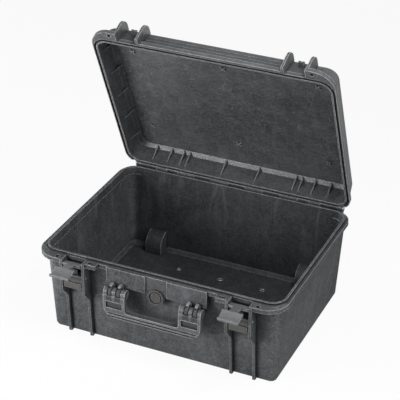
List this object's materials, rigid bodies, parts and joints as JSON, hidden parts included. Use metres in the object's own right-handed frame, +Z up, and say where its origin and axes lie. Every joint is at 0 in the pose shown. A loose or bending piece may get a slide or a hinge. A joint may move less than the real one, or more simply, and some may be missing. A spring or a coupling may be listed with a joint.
{
  "type": "waterproof utility case",
  "caption": "Moulded plastic utility case with a hinged lid standing open, hook latches, a folding front handle, a pressure valve and a sealed rim.",
  "frame": {"origin": "middle of the flat underside", "axes": "+X to the right seen from the front, -Y towards the front with the handle, +Z up"},
  "size_m": [0.51, 0.487, 0.5637],
  "materials": {
    "shell_plastic": "spark-eroded",
    "handle_plastic": "moulded",
    "latch_plastic": "satin",
    "valve_plastic": "satin",
    "seal_rubber": "matte",
    "membrane": "porous film",
    "pin_steel": "drawn"
  },
  "bodies": {
    "base": {"base_shell": "shell_plastic", "hinge_pin": "pin_steel", "handle_pin_left": "pin_steel", "handle_pin_right": "pin_steel", "latch_hook_pin_left": "pin_steel", "latch_hook_pin_right": "pin_steel", "latch_lock_pin_left": "pin_steel", "latch_lock_pin_right": "pin_steel", "valve_body": "valve_plastic", "valve_cap": "valve_plastic", "valve_membrane": "membrane", "valve_o_ring": "seal_rubber", "valve_nut": "valve_plastic"},
    "lid": {"lid_shell": "shell_plastic", "lid_seal": "seal_rubber"},
    "handle": {"handle": "handle_plastic"},
    "hook_left": {"latch_hook_left": "latch_plastic"},
    "lock_left": {"latch_lock_left": "latch_plastic"},
    "hook_right": {"latch_hook_right": "latch_plastic"},
    "lock_right": {"latch_lock_right": "latch_plastic"}
  },
  "joints": [
    {"name": "lid_hinge", "type": "hinge", "parent": "base", "child": "lid", "pos_m": [0, 0.1946, 0.187], "axis": [-1, 0, 0], "range_deg": [-66.35, 30]},
    {"name": "handle_swing", "type": "hinge", "parent": "base", "child": "handle", "pos_m": [0, -0.2065, 0.1375], "axis": [-1, 0, 0], "range_deg": [0, 95]},
    {"name": "latch_hook_turn_left", "type": "hinge", "parent": "base", "child": "hook_left", "pos_m": [-0.172, -0.202, 0.171], "axis": [1, 0, 0], "range_deg": [-101, 0]},
    {"name": "latch_lock_turn_left", "type": "hinge", "parent": "base", "child": "lock_left", "pos_m": [-0.172, -0.1995, 0.146], "axis": [-1, 0, 0], "range_deg": [0, 25]},
    {"name": "latch_hook_turn_right", "type": "hinge", "parent": "base", "child": "hook_right", "pos_m": [0.172, -0.202, 0.171], "axis": [1, 0, 0], "range_deg": [-101, 0]},
    {"name": "latch_lock_turn_right", "type": "hinge", "parent": "base", "child": "lock_right", "pos_m": [0.172, -0.1995, 0.146], "axis": [-1, 0, 0], "range_deg": [0, 25]}
  ]
}
